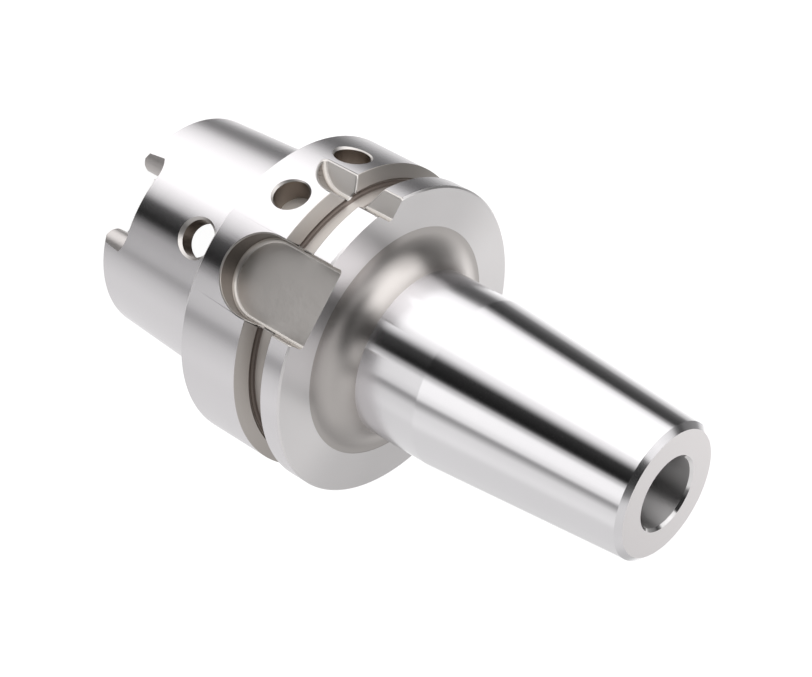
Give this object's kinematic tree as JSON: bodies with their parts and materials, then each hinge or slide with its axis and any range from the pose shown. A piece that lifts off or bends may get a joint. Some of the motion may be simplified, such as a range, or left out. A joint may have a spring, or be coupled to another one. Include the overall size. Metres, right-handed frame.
{
  "type": "shrink fit tool holder",
  "caption": "Shrink fit tool holder with a hollow taper shank, a V-grooved flange with milled pockets, and a long slightly conical nose with a plain bore.",
  "frame": {"origin": "on the axis, in the plane of the flange face that meets the spindle", "axes": "+Z along the axis towards the nose; -Y towards the narrow flange pocket; +Y towards the wide one"},
  "size_m": [0.063, 0.063, 0.122],
  "materials": {
    "ground_tool_steel": "hardened hot-work tool steel, ground bright on the taper, collars and nose, turned and milled matt in the groove, pockets and root",
    "black_oxide_steel": "black oxide on an alloy steel grub screw"
  },
  "bodies": {
    "holder": {"holder_body": "ground_tool_steel"},
    "screw": {"stop_screw": "black_oxide_steel"}
  },
  "joints": [
    {"name": "stop_screw_travel", "type": "slide", "parent": "holder", "child": "screw", "axis": [0, 0, 1], "range_m": [0, 0.01]}
  ]
}
